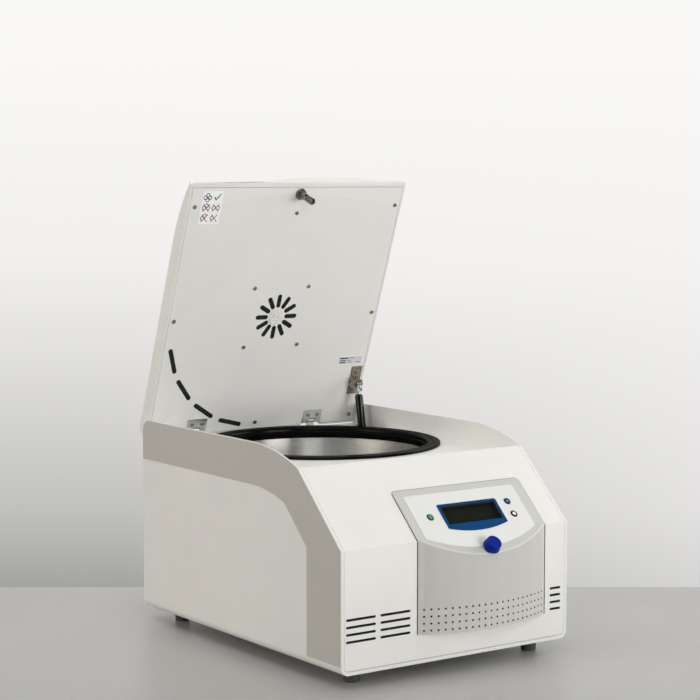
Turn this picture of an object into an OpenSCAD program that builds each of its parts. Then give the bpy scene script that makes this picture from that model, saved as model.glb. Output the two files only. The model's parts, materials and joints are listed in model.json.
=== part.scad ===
// Table-top laboratory centrifuge with a swing-out rotor, lid open.
// Millimetres, +Z up, front towards -Y, right-hand side towards +X.

/* [Housing] */
// Overall width of the painted wrap
body_w = 456; // [452:1:464]
// Front to back depth of the painted wrap
body_d = 612; // [608:1:624]
// Height of the wrap's underside above the bench
base_z = 21; // [18:1:26]
// Height of the lower edge of the sloping front
bend_z = 215.6; // [212:0.2:220]
// Tilt of the sloping front above horizontal
slope_ang = 43.8; // [43:0.1:45]
// Height of the side panels' top edge
wing_z = 357; // [355:1:360]
// Height of the recessed deck around the bowl
deck_z = 321; // [320:0.5:322]

/* [Bowl and rotor] */
// Distance of the spin axis behind the middle of the wrap
bowl_y = 84; // [82:1:86]
// Inside radius of the steel bowl
bowl_r = 188; // [186:1:190]
// Height of the bowl's floor
floor_z = 132; // [130:1:136]
// Height of the buckets' swing pins
pivot_z = 250; // [248:1:252]
// Distance of the swing pins from the spin axis
pivot_r = 88; // [87:0.5:89]
// Outside radius of a bucket
bucket_r = 32; // [30:0.5:33]

/* [Lid] */
// How far the lid leans back from closed, in the pose drawn
lid_open = 69.9; // [60:0.1:72]
// Height of the lid hinge line
hinge_z = 331; // [330:0.5:332]
// Distance of the hinge leaves either side of the middle
leaf_x = 125; // [110:1:140]

/* [Control panel] */
// Sideways offset of the control panel
panel_x = 48.4; // [40:0.2:50]
// Width of the control panel
panel_w = 261; // [240:1:261]
// How far the panel's front bows out
bulge = 31; // [20:1:34]
// Length of the display window
lcd_w = 110; // [90:1:112]

/* [Hidden] */
$fn = 64;
// moves the origin to the middle of the whole object's depth, lid open
y_off = 12.6;
hw = body_w / 2;
yf = -body_d / 2;
yb = body_d / 2;
sheet = 2.2;
rim = 5.5;
// radius of the long folds under the wrap
fold_r = 14;
// any height above the whole body, for cutting shapes
tall = 420;
// shadow gap between the front cover and the wrap's rim
cover_gap = 0.5;
sa = slope_ang;
// top of the slope, where it meets the lip in front of the deck
lip_s = 165.4;
lip_y = yf + lip_s * cos(sa);
lip_z = bend_z + lip_s * sin(sa);
// crown arc that joins the slope to the level top edge
arc_y = -51;
arc_dy = lip_y - arc_y;
arc_drop = wing_z - lip_z;
arc_r = (arc_dy * arc_dy + arc_drop * arc_drop) / (2 * arc_drop);
arc_cz = wing_z - arc_r;
arc_a = asin(-arc_dy / arc_r);
stripe_h = 70;
// lid
hinge_y = 301;
panel_z = 327.5;
lid_hw = 224.3;
lid_pw = 220;
lid_back = 307;
lid_front = -162;
// ends of the lid's curved cover
lid_nose = -170.5;
lid_tail = 311;
win_r = 13;
scr_xy = [[-210.5, -127.6], [210.5, -127.6], [0, -114.4], [-211, bowl_y], [211, bowl_y],
  [-57, bowl_y - 57], [57, bowl_y - 57], [-57, bowl_y + 57], [57, bowl_y + 57],
  [-210, 294], [0, 294], [210, 294]];
strike_y = -150;
// height of the latch bolt
bolt_z = 306.5;
// gas strut, lid closed pivot and foot
str_x = 205;
str_y = 223;
str_z = 315.5;
foot_y = 213.6;
foot_z = 143;
tube_r = 7.5;
// ends of the strut's cylinder, down from its top eye
tube_top = -24;
tube_end = -152;
c_white = [0.92, 0.92, 0.90];
c_grey = [0.66, 0.65, 0.62];
c_panel = [0.74, 0.74, 0.72];
c_steel = [0.72, 0.72, 0.71];
c_dark = [0.16, 0.16, 0.17];
c_rubber = [0.05, 0.05, 0.05];
c_zinc = [0.70, 0.72, 0.72];
c_blue = [0.02, 0.25, 0.55];
c_pcb = [0.05, 0.32, 0.16];

function arcpts(cy, cz, r, a0, a1, n) =
  [for (i = [0:n]) [cy + r * cos(a0 + (a1 - a0) * i / n), cz + r * sin(a0 + (a1 - a0) * i / n)]];
// point on the sloping front, s up the slope from the bend, h proud of it
function sl(s, h) = [yf + s * cos(sa) - h * sin(sa), bend_z + s * sin(sa) + h * cos(sa)];

module m() {
  translate([0, y_off, 0]) children();
}
module yz(x0, x1) {
  translate([x0, 0, 0]) rotate([90, 0, 90]) linear_extrude(x1 - x0) children();
}
module xz(y0, y1) {
  translate([0, y1, 0]) rotate([90, 0, 0]) linear_extrude(y1 - y0) children();
}
module slope(x, s, h) {
  translate([x, yf, bend_z]) rotate([sa, 0, 0]) translate([0, s, h]) children();
}
module box(x0, x1, y0, y1, z0, z1) {
  translate([x0, y0, z0]) cube([x1 - x0, y1 - y0, z1 - z0]);
}
module tube(r, z0, z1) {
  translate([0, 0, z0]) cylinder(r = r, h = z1 - z0);
}
// lid parts are drawn shut and turned about the hinge line
module lid() {
  m() translate([0, hinge_y, hinge_z]) rotate([-lid_open, 0, 0])
    translate([0, -hinge_y, -hinge_z]) children();
}
module rr(w, h, r) {
  square([w - 2 * r, h], center = true);
  square([w, h - 2 * r], center = true);
  for (i = [-1, 1], j = [-1, 1]) translate([i * (w / 2 - r), j * (h / 2 - r)]) circle(r = r);
}
// tray section, straight sides and rounded lower corners
module tray(half, z0, z1, r) {
  translate([-half, z0 + r]) square([2 * half, z1 - z0 - r]);
  translate([-half + r, z0]) square([2 * half - 2 * r, r + 1]);
  for (i = [-1, 1]) translate([i * (half - r), z0 + r]) circle(r = r);
}
module slot(l, w) {
  square([l - w, w], center = true);
  for (i = [-1, 1]) translate([i * (l - w) / 2, 0]) circle(d = w, $fn = 24);
}

side_outline = concat([[yf, base_z], [yf, bend_z]],
  arcpts(arc_y, arc_cz, arc_r, 90 + arc_a, 90, 14),
  arcpts(yb - 22, wing_z - 22, 22, 90, 0, 8),
  arcpts(yb - 11, base_z + 11, 11, 0, -90, 5));

module housing_shell() {
  color(c_white) m() difference() {
    intersection() {
      yz(-hw, hw) polygon(side_outline);
      xz(yf - 1, yb + 1) tray(hw, base_z, tall, fold_r);
    }
    intersection() {
      yz(-hw, hw) polygon([[yf + sheet, base_z], [yf + sheet, bend_z - 0.9],
        [lip_y, sl(lip_s, 0)[1] - sheet / cos(sa)], [lip_y, tall], [yb + 2, tall],
        [yb + 2, base_z]]);
      xz(yf - 1, yb + 3) tray(hw - sheet, base_z + sheet, tall + 10, fold_r - sheet);
    }
    xz(yf - 1, yb + 1) tray(hw - rim, base_z + 6, tall + 10, 8);
    // cooling slots in the floor
    for (i = [-4:4]) translate([i * 22, -215, base_z - 1]) linear_extrude(9) rotate(90) slot(60, 6);
    // holes for the foot screws
    for (i = [-1, 1], y = [yf + 40, yb - 52]) translate([i * 180, y, base_z - 1]) cylinder(r = 2.8, h = 9);
  }
}

module stripe_outline() {
  e = 1.2;
  low_r = arc_r - stripe_h;
  // lower end of the band and its inner upright edge
  foot = base_z + 14.5;
  inner_y = -212;
  turn = sl(0, -stripe_h);
  polygon(concat([[yf + e, foot], [yf + e, bend_z - 0.4]],
    arcpts(arc_y, arc_cz, arc_r - e, 90 + arc_a, 90, 14),
    arcpts(yb - 22, wing_z - 22, 22 - e, 90, 0, 8),
    [[yb - e, wing_z - stripe_h]],
    arcpts(arc_y, arc_cz, low_r, 90, 110.2, 10),
    [[inner_y, turn[1] + (inner_y - turn[0]) * tan(sa)], [inner_y, foot]]));
}
module side_stripes() {
  color(c_grey) m() {
    yz(-hw - 0.4, -hw) stripe_outline();
    yz(hw, hw + 0.4) stripe_outline();
  }
}

module front_cover() {
  t = 2;
  ch = hw - rim - cover_gap;
  low = base_z + 6.8;
  // foot of the short flange that turns down behind the lip
  p = sl(lip_s - 1, 0);
  q = p[0] + 0.6;
  color(c_white) m() difference() {
    intersection() {
      yz(-ch, ch) polygon([[yf, low], [yf, bend_z], p, [q + t, p[1]], [q + t, deck_z - 1.5],
        [q, deck_z - 1.5], [q, p[1] + 0.6 * tan(sa) - t / cos(sa)], [yf + t, bend_z - 0.85], [yf + t, low]]);
      xz(yf - 1, yb) tray(ch, low, tall, 7);
    }
    // four rows of cooling slots, as middle and length
    for (row = [0:3], v = [[-190.7, 56.4], [-124.9, 57.8], [202.5, 23]])
      translate([v[0], yf - 1, 107.7 - 11.5 * row]) rotate([-90, 0, 0]) linear_extrude(4) slot(v[1], 4);
    // opening behind the display
    slope(panel_x, 40, -5) linear_extrude(10) rr(222, 78, 4);
    // opening behind the bowed part of the control panel
    box(panel_x - 120, panel_x + 120, yf - 1, yf + 4, 78, 205);
  }
}

// ledge behind the deck, which carries the hinge leaves
ledge_y = 284;
ledge_drop = 12;
module top_deck() {
  w = hw - sheet - 0.3;
  t = 1.6;
  color(c_white) m() difference() {
    union() {
      box(-w, w, lip_y + sheet, ledge_y, deck_z - t, deck_z);
      box(-w, w, ledge_y - t, ledge_y, deck_z - ledge_drop, deck_z);
      box(-w, w, ledge_y - t, yb - 3.4, deck_z - ledge_drop, deck_z - ledge_drop + t);
    }
    translate([0, bowl_y, 0]) tube(bowl_r + 3.4, deck_z - 20, deck_z + 5);
    // notch for the gas strut, open to the side
    box(str_x - 15, w + 1, 197, 262, deck_z - 5, deck_z + 3);
    // notch for the lid's striker, open to the front
    box(-13, 13, lip_y, strike_y + 13, deck_z - 5, deck_z + 3);
  }
}

fan_x = -110;
fan_z = 92;
inl_x = 150;
inl_z = 62;
sw_x = 96;
module rear_panel() {
  w = hw - sheet - 0.5;
  color(c_white) m() difference() {
    xz(yb - 3.2, yb - 1.2) tray(w, base_z + sheet + 0.5, deck_z - ledge_drop, fold_r - sheet);
    // fan grille
    for (r = [14, 21, 28, 35], a = [0:45:315])
      translate([fan_x, yb - 6, fan_z]) rotate([-90, 0, 0]) rotate(a + 22.5) intersection() {
        difference() {
          cylinder(r = r + 4.6, h = 8);
          translate([0, 0, -1]) cylinder(r = r, h = 10);
        }
        rotate(-19) cube([60, 60, 8]);
        rotate(-71) cube([60, 60, 8]);
      }
    box(inl_x - 14.4, inl_x + 14.4, yb - 6, yb, inl_z - 12.4, inl_z + 12.4);
    box(sw_x - 11.4, sw_x + 11.4, yb - 6, yb, inl_z - 15.4, inl_z + 15.4);
    // exhaust slots
    for (i = [-5:5]) translate([i * 14, yb, 220]) rotate([90, 0, 0])
      linear_extrude(6) rotate(90) slot(70, 5);
    for (q = rear_xz) translate([q[0], yb, q[1]]) rotate([90, 0, 0]) cylinder(r = 2.2, h = 6, $fn = 24);
  }
}
rear_xz = [for (x = [-212, 212], z = [60, 180, 290]) [x, z], [0, 40], [-40, 296], [40, 296]];
module rear_screws() {
  color(c_zinc) m() for (q = rear_xz) translate([q[0], yb - 1.2, q[1]]) rotate([-90, 0, 0]) difference() {
    union() {
      cylinder(r = 4, h = 2.2, $fn = 32);
      translate([0, 0, -7]) cylinder(r = 1.9, h = 7, $fn = 24);
    }
    for (a = [0, 90]) rotate(a) translate([-2.4, -0.5, 1.2]) cube([4.8, 1, 2]);
  }
}

leg_xy = [[-188, -88], [188, -88], [-188, 252], [188, 252]];
// plate that carries the motor and the bowl, on four box legs
chassis_z = 116;
// distance of the motor's rubber dampers from the spin axis
damper_r = 82;
chassis_hw = 222;
chassis_y0 = -106;
chassis_y1 = 272;
module chassis() {
  z = chassis_z;
  gauge = 3;
  low = base_z + sheet;
  color(c_zinc) m() difference() {
    union() {
      box(-chassis_hw, chassis_hw, chassis_y0, chassis_y1, z, z + gauge);
      for (i = [-1, 1]) translate([i * (chassis_hw - gauge / 2), 0, 0])
        box(-gauge / 2, gauge / 2, chassis_y0, chassis_y1, z - 12, z + gauge);
      for (q = leg_xy) translate([q[0], q[1], 0]) {
        box(-12, 12, -12, 12, low + gauge, z + 1);
        box(-20, 20, -20, 20, low, low + gauge);
      }
    }
    for (q = leg_xy) translate([q[0], q[1], 0]) box(-10, 10, -10, 10, low - 1, z - 2);
    translate([0, bowl_y, 0]) tube(46, z - 16, z + 14);
    for (a = [45:90:315]) translate([0, bowl_y, 0]) rotate(a) translate([damper_r, 0, 0])
      tube(4, z - 16, z + 14);
  }
}

foot_xy = [[-180, yf + 40], [180, yf + 40], [-180, yb - 52], [180, yb - 52]];
module feet() {
  color(c_dark) m() for (q = foot_xy) translate([q[0], q[1], 0]) difference() {
    rotate_extrude($fn = 48) polygon([[0, 0], [11.6, 0], [12.6, 1], [13.2, base_z], [0, base_z]]);
    tube(6, -1, 9);
    tube(2.8, 8, base_z + 1);
  }
}
module foot_screws() {
  color(c_zinc) m() for (q = foot_xy) translate([q[0], q[1], 0]) difference() {
    union() {
      translate([0, 0, 5.4]) cylinder(r = 4.6, h = 3.6, $fn = 32);
      translate([0, 0, 9]) cylinder(r = 2.4, h = base_z - 9 + sheet - 0.4, $fn = 24);
    }
    for (a = [0, 90]) rotate(a) translate([-3, -0.6, 5]) cube([6, 1.2, 1.8]);
  }
}

pan_hw = panel_w / 2;
bow_r = (pan_hw * pan_hw + bulge * bulge) / (2 * bulge);
pan_top = 99;
module bow(d) {
  intersection() {
    translate([panel_x, yf - bulge + bow_r]) circle(r = bow_r - d, $fn = 240);
    translate([panel_x - pan_hw + d, yf - bulge - 5]) square([panel_w - 2 * d, bulge + 160]);
  }
}
button_xs = [[-36.3, 40.5], [129.3, 53.3], [128.4, 27.3]];
knob_x = 45;
knob_s = -31;
module control_panel() {
  zb = 67;
  hole = 3;
  corner = 7;
  color(c_panel) m() difference() {
    intersection() {
      translate([0, 0, zb]) linear_extrude(300) bow(0);
      yz(-200, 200) polygon([sl(pan_top, 2), sl(-60, 2), [sl(-60, 2)[0], zb], [yf - 0.15, zb],
        [yf - 0.15, bend_z + 0.05], sl(pan_top, 0.15)]);
    }
    intersection() {
      translate([0, 0, zb + 2.5]) linear_extrude(300) bow(2.5);
      yz(-200, 200) polygon([sl(3.5, -0.8), sl(-60, -0.8), [sl(-60, -0.8)[0], zb], [yf + 3, zb]]);
    }
    // rounded upper corners
    for (i = [-1, 1]) slope(panel_x + i * (pan_hw - corner), pan_top - corner, -1) difference() {
      translate([i > 0 ? 0 : -corner - 1, 0, 0]) cube([corner + 1, corner + 1, 5]);
      translate([0, 0, -1]) cylinder(r = corner + 0.4, h = 8);
    }
    slope(panel_x - 1.4, 39.6, -2) linear_extrude(8) rr(lcd_w + 1.2, 37.4, 1.5);
    for (q = button_xs) slope(q[0], q[1], -3) cylinder(r = 6.6, h = 8, $fn = 48);
    slope(knob_x, knob_s, -4) cylinder(r = 4.2, h = 10, $fn = 48);
    // perforated grille in the bowed front
    for (row = [0:3], j = [0:21]) translate([panel_x, yf - bulge + bow_r, 107 - 11.2 * row])
      rotate([0, 0, (j - 10.5) * 2.345]) translate([-hole / 2, -bow_r - 3, -hole / 2])
        cube([hole, 9, hole]);
  }
}
// keypad film with a lower edge that bows down
module membrane_outline() {
  r = 235;
  translate([45.6, 0]) intersection() {
    translate([0, 30]) rr(224, 111, 5);
    translate([0, r - 27.3]) circle(r = r, $fn = 240);
  }
}
module membrane() {
  color([0.86, 0.86, 0.85]) m() difference() {
    slope(0, 0, 2.05) linear_extrude(0.5) membrane_outline();
    slope(panel_x - 1.4, 39.6, 0) linear_extrude(8) rr(lcd_w + 1.2, 37.4, 1.5);
    for (q = button_xs) slope(q[0], q[1], -3) cylinder(r = 6.5, h = 8, $fn = 48);
  }
}
module display_bezel() {
  color(c_blue) m() slope(panel_x - 1.4, 0, 2.6) linear_extrude(0.8) difference() {
    intersection() {
      translate([0, 33.5]) rr(121, 57, 3);
      translate([0, 5 + 200]) circle(r = 200, $fn = 200);
    }
    translate([0, 39.6]) rr(lcd_w, 36.2, 1);
  }
}
module lcd_display() {
  color([0.14, 0.16, 0.12]) m() slope(panel_x - 1.4, 39.6, -7) {
    linear_extrude(9.2) rr(lcd_w + 0.4, 36.6, 1);
    linear_extrude(5) rr(lcd_w + 12, 46, 1);
  }
}
module control_board() {
  color(c_pcb) m() {
    slope(panel_x - 4, 40, -8.8) linear_extrude(1.6) rr(212, 70, 2);
    for (q = button_xs) slope(q[0], q[1], -7.15) {
      linear_extrude(3) rr(12, 12, 1);
      cylinder(r = 3, h = 4.4, $fn = 32);
    }
    slope(panel_x + 20, 34, -16) linear_extrude(7.1) rr(40, 16, 1);
    slope(panel_x - 60, 34, -20) linear_extrude(11.1) rr(22, 22, 1);
  }
}
module encoder() {
  color(c_zinc) m() slope(knob_x, knob_s, 0) {
    translate([0, 0, -10]) linear_extrude(7.6) rr(13, 13, 1);
    translate([0, 0, -2.5]) cylinder(r = 4, h = 6.5, $fn = 48);
    translate([0, 0, 3.9]) cylinder(r = 3, h = 7, $fn = 48);
  }
}
module knob() {
  color([0.01, 0.06, 0.42]) m() slope(knob_x, knob_s, 0) difference() {
    rotate_extrude($fn = 96) polygon([[0, 4.6], [13.6, 4.6], [14.2, 5.4], [13.9, 8.4], [13, 9],
      [12.7, 16.2], [12.4, 17.5], [11.5, 18.2], [9.8, 18.2], [9, 17.7], [0, 17.7]]);
    translate([0, 0, 4]) cylinder(r = 3.05, h = 7.4, $fn = 48);
    translate([0, 0, 4]) cylinder(r = 8.4, h = 2.2, $fn = 48);
  }
}
module button(q, c) {
  color(c) m() slope(q[0], q[1], 0) {
    rotate_extrude($fn = 64) polygon([[0, -1.2], [6.1, -1.2], [6.1, 3.1], [5.6, 3.6], [0, 3.6]]);
    translate([0, 0, -1.6]) cylinder(r = 2.4, h = 1, $fn = 32);
  }
}
module start_button() {
  button(button_xs[0], [0.05, 0.5, 0.35]);
}
module lid_button() {
  button(button_xs[1], [0.03, 0.2, 0.55]);
}
module stop_button() {
  button(button_xs[2], [0.45, 0.03, 0.06]);
}

module bowl() {
  r = bowl_r;
  z0 = floor_z;
  color(c_steel) m() translate([0, bowl_y, 0]) rotate_extrude($fn = 180) polygon(concat(
    [[34, z0 + 14]], [[34, z0 - 1.5]], [[r - 14, z0 - 1.5]],
    arcpts(r - 14, z0 + 14, 15.5, -90, 0, 8),
    [[r + 1.5, deck_z + 0.2], [r + 18, deck_z + 0.2], [r + 18, deck_z + 1.7], [r, deck_z + 1.7]],
    arcpts(r - 14, z0 + 14, 14, 0, -90, 8),
    [[36.5, z0], [36.5, z0 + 14]]));
}
module bowl_gasket() {
  r = bowl_r;
  z = deck_z;
  color(c_rubber) m() translate([0, bowl_y, 0]) rotate_extrude($fn = 180) polygon([
    [r + 18.2, z + 0.3], [r + 21.3, z + 0.3], [r + 21.3, z + 3.6], [r + 20.6, z + 4.6],
    [r + 19, z + 5], [r + 11.5, z + 5], [r + 10.4, z + 3.7], [r + 8.2, z + 3.7],
    [r + 7.1, z + 5], [r + 1.5, z + 5], [r - 1.2, z + 3.2], [r - 2.4, z + 0.8],
    [r - 2.4, z - 3], [r - 3.6, z - 4.2], [r - 3.6, z - 8], [r - 2.6, z - 9.2],
    [r - 2.6, z - 14.4], [r - 1.8, z - 15.4], [r - 0.1, z - 15.4], [r - 0.1, z + 1.8],
    [r + 18.2, z + 1.8]]);
}
module guard_ring() {
  color(c_dark) m() translate([0, bowl_y, 0]) difference() {
    tube(bowl_r + 12, 119, 300, $fn = 120);
    tube(bowl_r + 5, 118, 301, $fn = 120);
  }
}
module motor() {
  color(c_dark) m() translate([0, bowl_y, 0]) difference() {
    union() {
      tube(56, 32, 96);
      tube(40, 95, 112);
      tube(27, 111, 150);
      translate([0, 0, 96]) linear_extrude(6) circle(r = 66);
      for (a = [45:90:315]) rotate(a) translate([0, -13, 96]) cube([96, 26, 6]);
    }
    tube(10.06, 40, 160);
    for (a = [45:90:315]) rotate(a) translate([damper_r, 0, 0]) tube(4, 90, 110);
    for (a = [0:15:345]) rotate(a) translate([56, -1.5, 38]) cube([4, 3, 50]);
  }
}
module motor_dampers() {
  color(c_rubber) m() for (a = [45:90:315]) translate([0, bowl_y, 0]) rotate(a)
    translate([damper_r, 0, 0]) {
      rotate_extrude($fn = 48) polygon([[0, 102], [11, 102], [9.4, 105], [9.4, 113], [11, 116], [0, 116]]);
      tube(3.7, 90, 103, $fn = 32);
      tube(3.7, 115, 124, $fn = 32);
      translate([0, 0, 88]) cylinder(r = 7.5, h = 7.9, $fn = 6);
      translate([0, 0, 119]) cylinder(r = 7.5, h = 6, $fn = 6);
    }
}
module motor_shaft() {
  color(c_steel) m() translate([0, bowl_y, 0]) {
    tube(10, 44, pivot_z - 29.5);
    translate([0, 0, pivot_z - 29.6]) cylinder(r1 = 10, r2 = 8, h = 20);
    tube(8, pivot_z - 10, pivot_z + 34);
  }
}

module rotor_cross() {
  z0 = pivot_z;
  color([0.62, 0.64, 0.66]) m() translate([0, bowl_y, 0]) difference() {
    union() {
      rotate_extrude($fn = 120) polygon([[0, z0 - 18], [66, z0 - 18], [98, z0 - 12], [110, z0 - 9],
        [110, z0 + 8], [102, z0 + 12], [64, z0 + 16], [0, z0 + 16]]);
      tube(27, z0 - 28, z0 + 30);
    }
    for (a = [0:90:270]) rotate(a) translate([49, -41, z0 - 40]) cube([90, 82, 80]);
    translate([0, 0, z0 - 29]) cylinder(r1 = 10.1, r2 = 8.1, h = 19.5);
    tube(8.1, z0 - 30, z0 + 40);
    for (a = [0:90:270]) rotate(a) translate([pivot_r, 0, z0]) rotate([90, 0, 0])
      cylinder(r = 4.06, h = 98, center = true, $fn = 48);
    for (a = [45:90:315]) rotate(a) translate([84, 0, 0]) tube(9, z0 + 4, z0 + 20, $fn = 48);
  }
}
module rotor_pins() {
  color(c_steel) m() translate([0, bowl_y, pivot_z]) for (a = [0:90:270], i = [-1, 1]) rotate(a)
    translate([pivot_r, i * 41, 0]) rotate([90, 0, 0]) cylinder(r = 4, h = 15, center = true, $fn = 48);
}
module rotor_nut() {
  color(c_dark) m() translate([0, bowl_y, 0]) difference() {
    tube(17, pivot_z + 30.2, pivot_z + 41);
    tube(8.05, pivot_z + 28, pivot_z + 36);
    for (a = [0:20:340]) rotate(a) translate([17.6, 0, 0]) tube(1.6, pivot_z + 28, pivot_z + 44, $fn = 16);
  }
}
module bucket(a) {
  r = bucket_r;
  color([0.55, 0.57, 0.6]) m() translate([0, bowl_y, pivot_z]) rotate(a)
    translate([pivot_r, 0, 0]) difference() {
      union() {
        rotate_extrude($fn = 96) polygon([[0, -86], [r - 5, -86], [r, -81], [r, 9], [r + 1.5, 10.5],
          [r + 1.5, 14], [r - 2.6, 14], [r - 2.6, -79], [r - 5, -82.6], [0, -82.6]]);
        for (i = [-1, 1]) translate([0, i * (r + 4.1), 0]) rotate([90, 0, 0])
          cylinder(r = 9, h = 6.8, center = true, $fn = 48);
        for (i = [-1, 1]) translate([-9, i > 0 ? r - 2 : -r - 4, -16]) cube([18, 6, 16]);
      }
      tube(r - 2.6, -79, 20, $fn = 96);
      for (i = [-1, 1]) translate([0, i * 38, 0]) rotate([90, 0, 0])
        cylinder(r = 4.05, h = 9.6, center = true, $fn = 48);
    }
}
module bucket_1() {
  bucket(0);
}
module bucket_2() {
  bucket(90);
}
module bucket_3() {
  bucket(180);
}
module bucket_4() {
  bucket(270);
}

module latch_housing() {
  y = strike_y;
  color(c_dark) m() difference() {
    union() {
      box(-24, 24, y - 30, y + 17, 270, deck_z - 1.9);
      box(-36, 36, y - 30, y + 17, deck_z - 4.4, deck_z - 1.9);
      translate([34, y - 8, 290]) rotate([0, 90, 0]) cylinder(r = 11, h = 34, center = true);
    }
    // striker well
    translate([0, y - 1, 280]) linear_extrude(60) rr(17, 20, 2);
    // bolt channel
    box(-4.2, 4.2, y - 31, y + 13, bolt_z - 3.3, bolt_z + 3.3);
  }
}
module latch_bolt() {
  y = strike_y;
  color(c_steel) m() {
    box(-3.9, 3.9, y - 29.5, y - 11.5, bolt_z - 3, bolt_z + 3);
  }
}

module strut_foot() {
  color(c_zinc) m() {
    box(str_x - 15, str_x - 13, foot_y - 12, foot_y + 12, 119, 162);
    box(str_x + 13, str_x + 15, foot_y - 12, foot_y + 12, 119, 162);
    box(str_x - 15, str_x + 15, foot_y - 12, foot_y + 12, 119, 121);
  }
}
module hinge_base_leaves() {
  color(c_zinc) m() for (i = [-1, 1]) translate([i * leaf_x, 0, 0]) difference() {
    union() {
      box(-20, 20, 286, 302.4, deck_z - 10.4, deck_z - 8.4);
      box(-7.5, 7.5, 299.6, 302.4, deck_z - 9, hinge_z);
      translate([0, hinge_y, hinge_z]) rotate([0, 90, 0]) cylinder(r = 5, h = 15, center = true);
    }
    translate([0, hinge_y, hinge_z]) rotate([0, 90, 0]) cylinder(r = 2.55, h = 20, center = true);
  }
}
module hinge_pins() {
  color(c_steel) m() for (i = [-1, 1]) translate([i * leaf_x, hinge_y, hinge_z]) rotate([0, 90, 0])
    cylinder(r = 2.5, h = 40, center = true);
}
module hinge_lid_leaves() {
  color(c_zinc) lid() for (i = [-1, 1]) translate([i * leaf_x, 0, 0]) difference() {
    union() {
      box(-20, 20, 278, 301, panel_z - 1.6, panel_z);
      translate([0, hinge_y, hinge_z]) rotate([0, 90, 0]) cylinder(r = 5, h = 40, center = true);
    }
    translate([0, hinge_y, hinge_z]) rotate([0, 90, 0]) cylinder(r = 2.56, h = 50, center = true);
    box(-8, 8, 295, 310, 320, 340);
    for (x = [-10, 10]) translate([x, 288, 320]) cylinder(r = 2.2, h = 10, $fn = 24);
  }
}
module screw(r, h) {
  difference() {
    union() {
      rotate_extrude($fn = 32) polygon([[0, 0], [r, 0], [r, -h * 0.6], [r - 0.8, -h], [0, -h]]);
      cylinder(r = r * 0.4, h = 7, $fn = 24);
    }
    for (a = [0, 90]) rotate(a) translate([-r * 0.6, -0.45, -h - 1]) cube([r * 1.2, 0.9, 1.8]);
  }
}
module hinge_lid_screws() {
  color(c_zinc) lid() for (i = [-1, 1], x = [-10, 10]) translate([i * leaf_x + x, 288, panel_z - 1.6])
    screw(3.6, 1.3);
}
module lid_screws() {
  color(c_zinc) lid() {
    for (q = scr_xy) translate([q[0], q[1], panel_z]) screw(3.9, 1);
    for (y = [-18, 18]) translate([str_x, str_y + y, panel_z - 1.8]) screw(4, 1.6);
  }
}

// long section of the lid's cover, set in by t
module lid_profile(t) {
  a = asin((arc_y - lid_nose - t) / (arc_r - t));
  polygon(concat([[lid_nose + t, panel_z]],
    arcpts(arc_y, arc_cz, arc_r - t, 90 + a, 90, 14),
    arcpts(lid_tail - 16, wing_z - 16, 16 - t, 90, 0, 6),
    [[lid_tail - t, panel_z]]));
}
module lid_cover() {
  grip_x = 54;
  grip_hw = 132;
  grip_r = 1101;
  color(c_white) lid() difference() {
    union() {
      yz(-lid_hw, lid_hw) lid_profile(0);
      // bowed grip along the front edge
      intersection() {
        translate([grip_x, lid_nose - 8 + grip_r, panel_z - 1]) cylinder(r = grip_r, h = 20, $fn = 720);
        yz(grip_x - grip_hw, grip_x + grip_hw) polygon([[-166, panel_z], [-171.5, panel_z],
          [-179.5, panel_z + 5.5], [-179.5, panel_z + 8], [-166, panel_z + 8]]);
      }
    }
    difference() {
      intersection() {
        yz(-lid_pw - 0.7, lid_pw + 0.7) lid_profile(3);
        box(-300, 300, lid_front - 0.7, lid_back + 1, 300, 400);
      }
      // bosses for the panel screws and the collar of the window
      for (q = scr_xy) translate([q[0], q[1], panel_z + 1.3]) cylinder(r = 4.6, h = 40, $fn = 32);
      translate([0, bowl_y, panel_z + 1.3]) cylinder(r = win_r + 3, h = 40);
    }
    for (q = scr_xy) translate([q[0], q[1], panel_z]) cylinder(r = 1.6, h = 9, $fn = 24);
    translate([0, bowl_y, panel_z - 5]) cylinder(r = win_r + 0.1, h = 50);
    // room for the hinge knuckles
    for (i = [-1, 1]) box(i * leaf_x - 21, i * leaf_x + 21, 293, 315, panel_z - 2, panel_z + 11);
  }
}
module lid_panel() {
  color(c_white) lid() difference() {
    box(-lid_pw, lid_pw, lid_front, lid_back, panel_z, panel_z + 1.2);
    // air slots around the window
    for (a = [0:30:330]) translate([0, bowl_y, 300]) rotate(a) translate([30.5, 0, 0])
      linear_extrude(40) slot(25.6, 8.6);
    // air slots round the rear left corner
    for (a = [21, 39, 57, 75]) translate([0, bowl_y, 300]) rotate(180 - a) translate([213.2, 0, 0])
      linear_extrude(40) rotate(90) slot(51.4, 8.6);
    translate([0, bowl_y, 300]) cylinder(r = win_r + 0.1, h = 50);
    for (q = scr_xy) translate([q[0], q[1], 300]) cylinder(r = 2, h = 50, $fn = 24);
    for (i = [-1, 1]) box(i * leaf_x - 21, i * leaf_x + 21, 293, 315, panel_z - 5, panel_z + 5);
    for (i = [-1, 1], x = [-10, 10]) translate([i * leaf_x + x, 288, 320])
      cylinder(r = 1.9, h = 20, $fn = 24);
    for (y = [-18, 18]) translate([str_x, str_y + y, 320]) cylinder(r = 2.1, h = 20, $fn = 24);
    translate([0, strike_y, 320]) cylinder(r = 3.2, h = 20, $fn = 24);
  }
}
module lid_window() {
  color([0.85, 0.88, 0.88, 0.5]) lid() translate([0, bowl_y, 0]) difference() {
    union() {
      tube(win_r, panel_z - 0.6, wing_z - 0.2);
      tube(win_r + 1.6, panel_z - 1.6, panel_z - 0.1);
    }
    tube(win_r - 3, panel_z + 2, wing_z - 3);
  }
}
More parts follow.
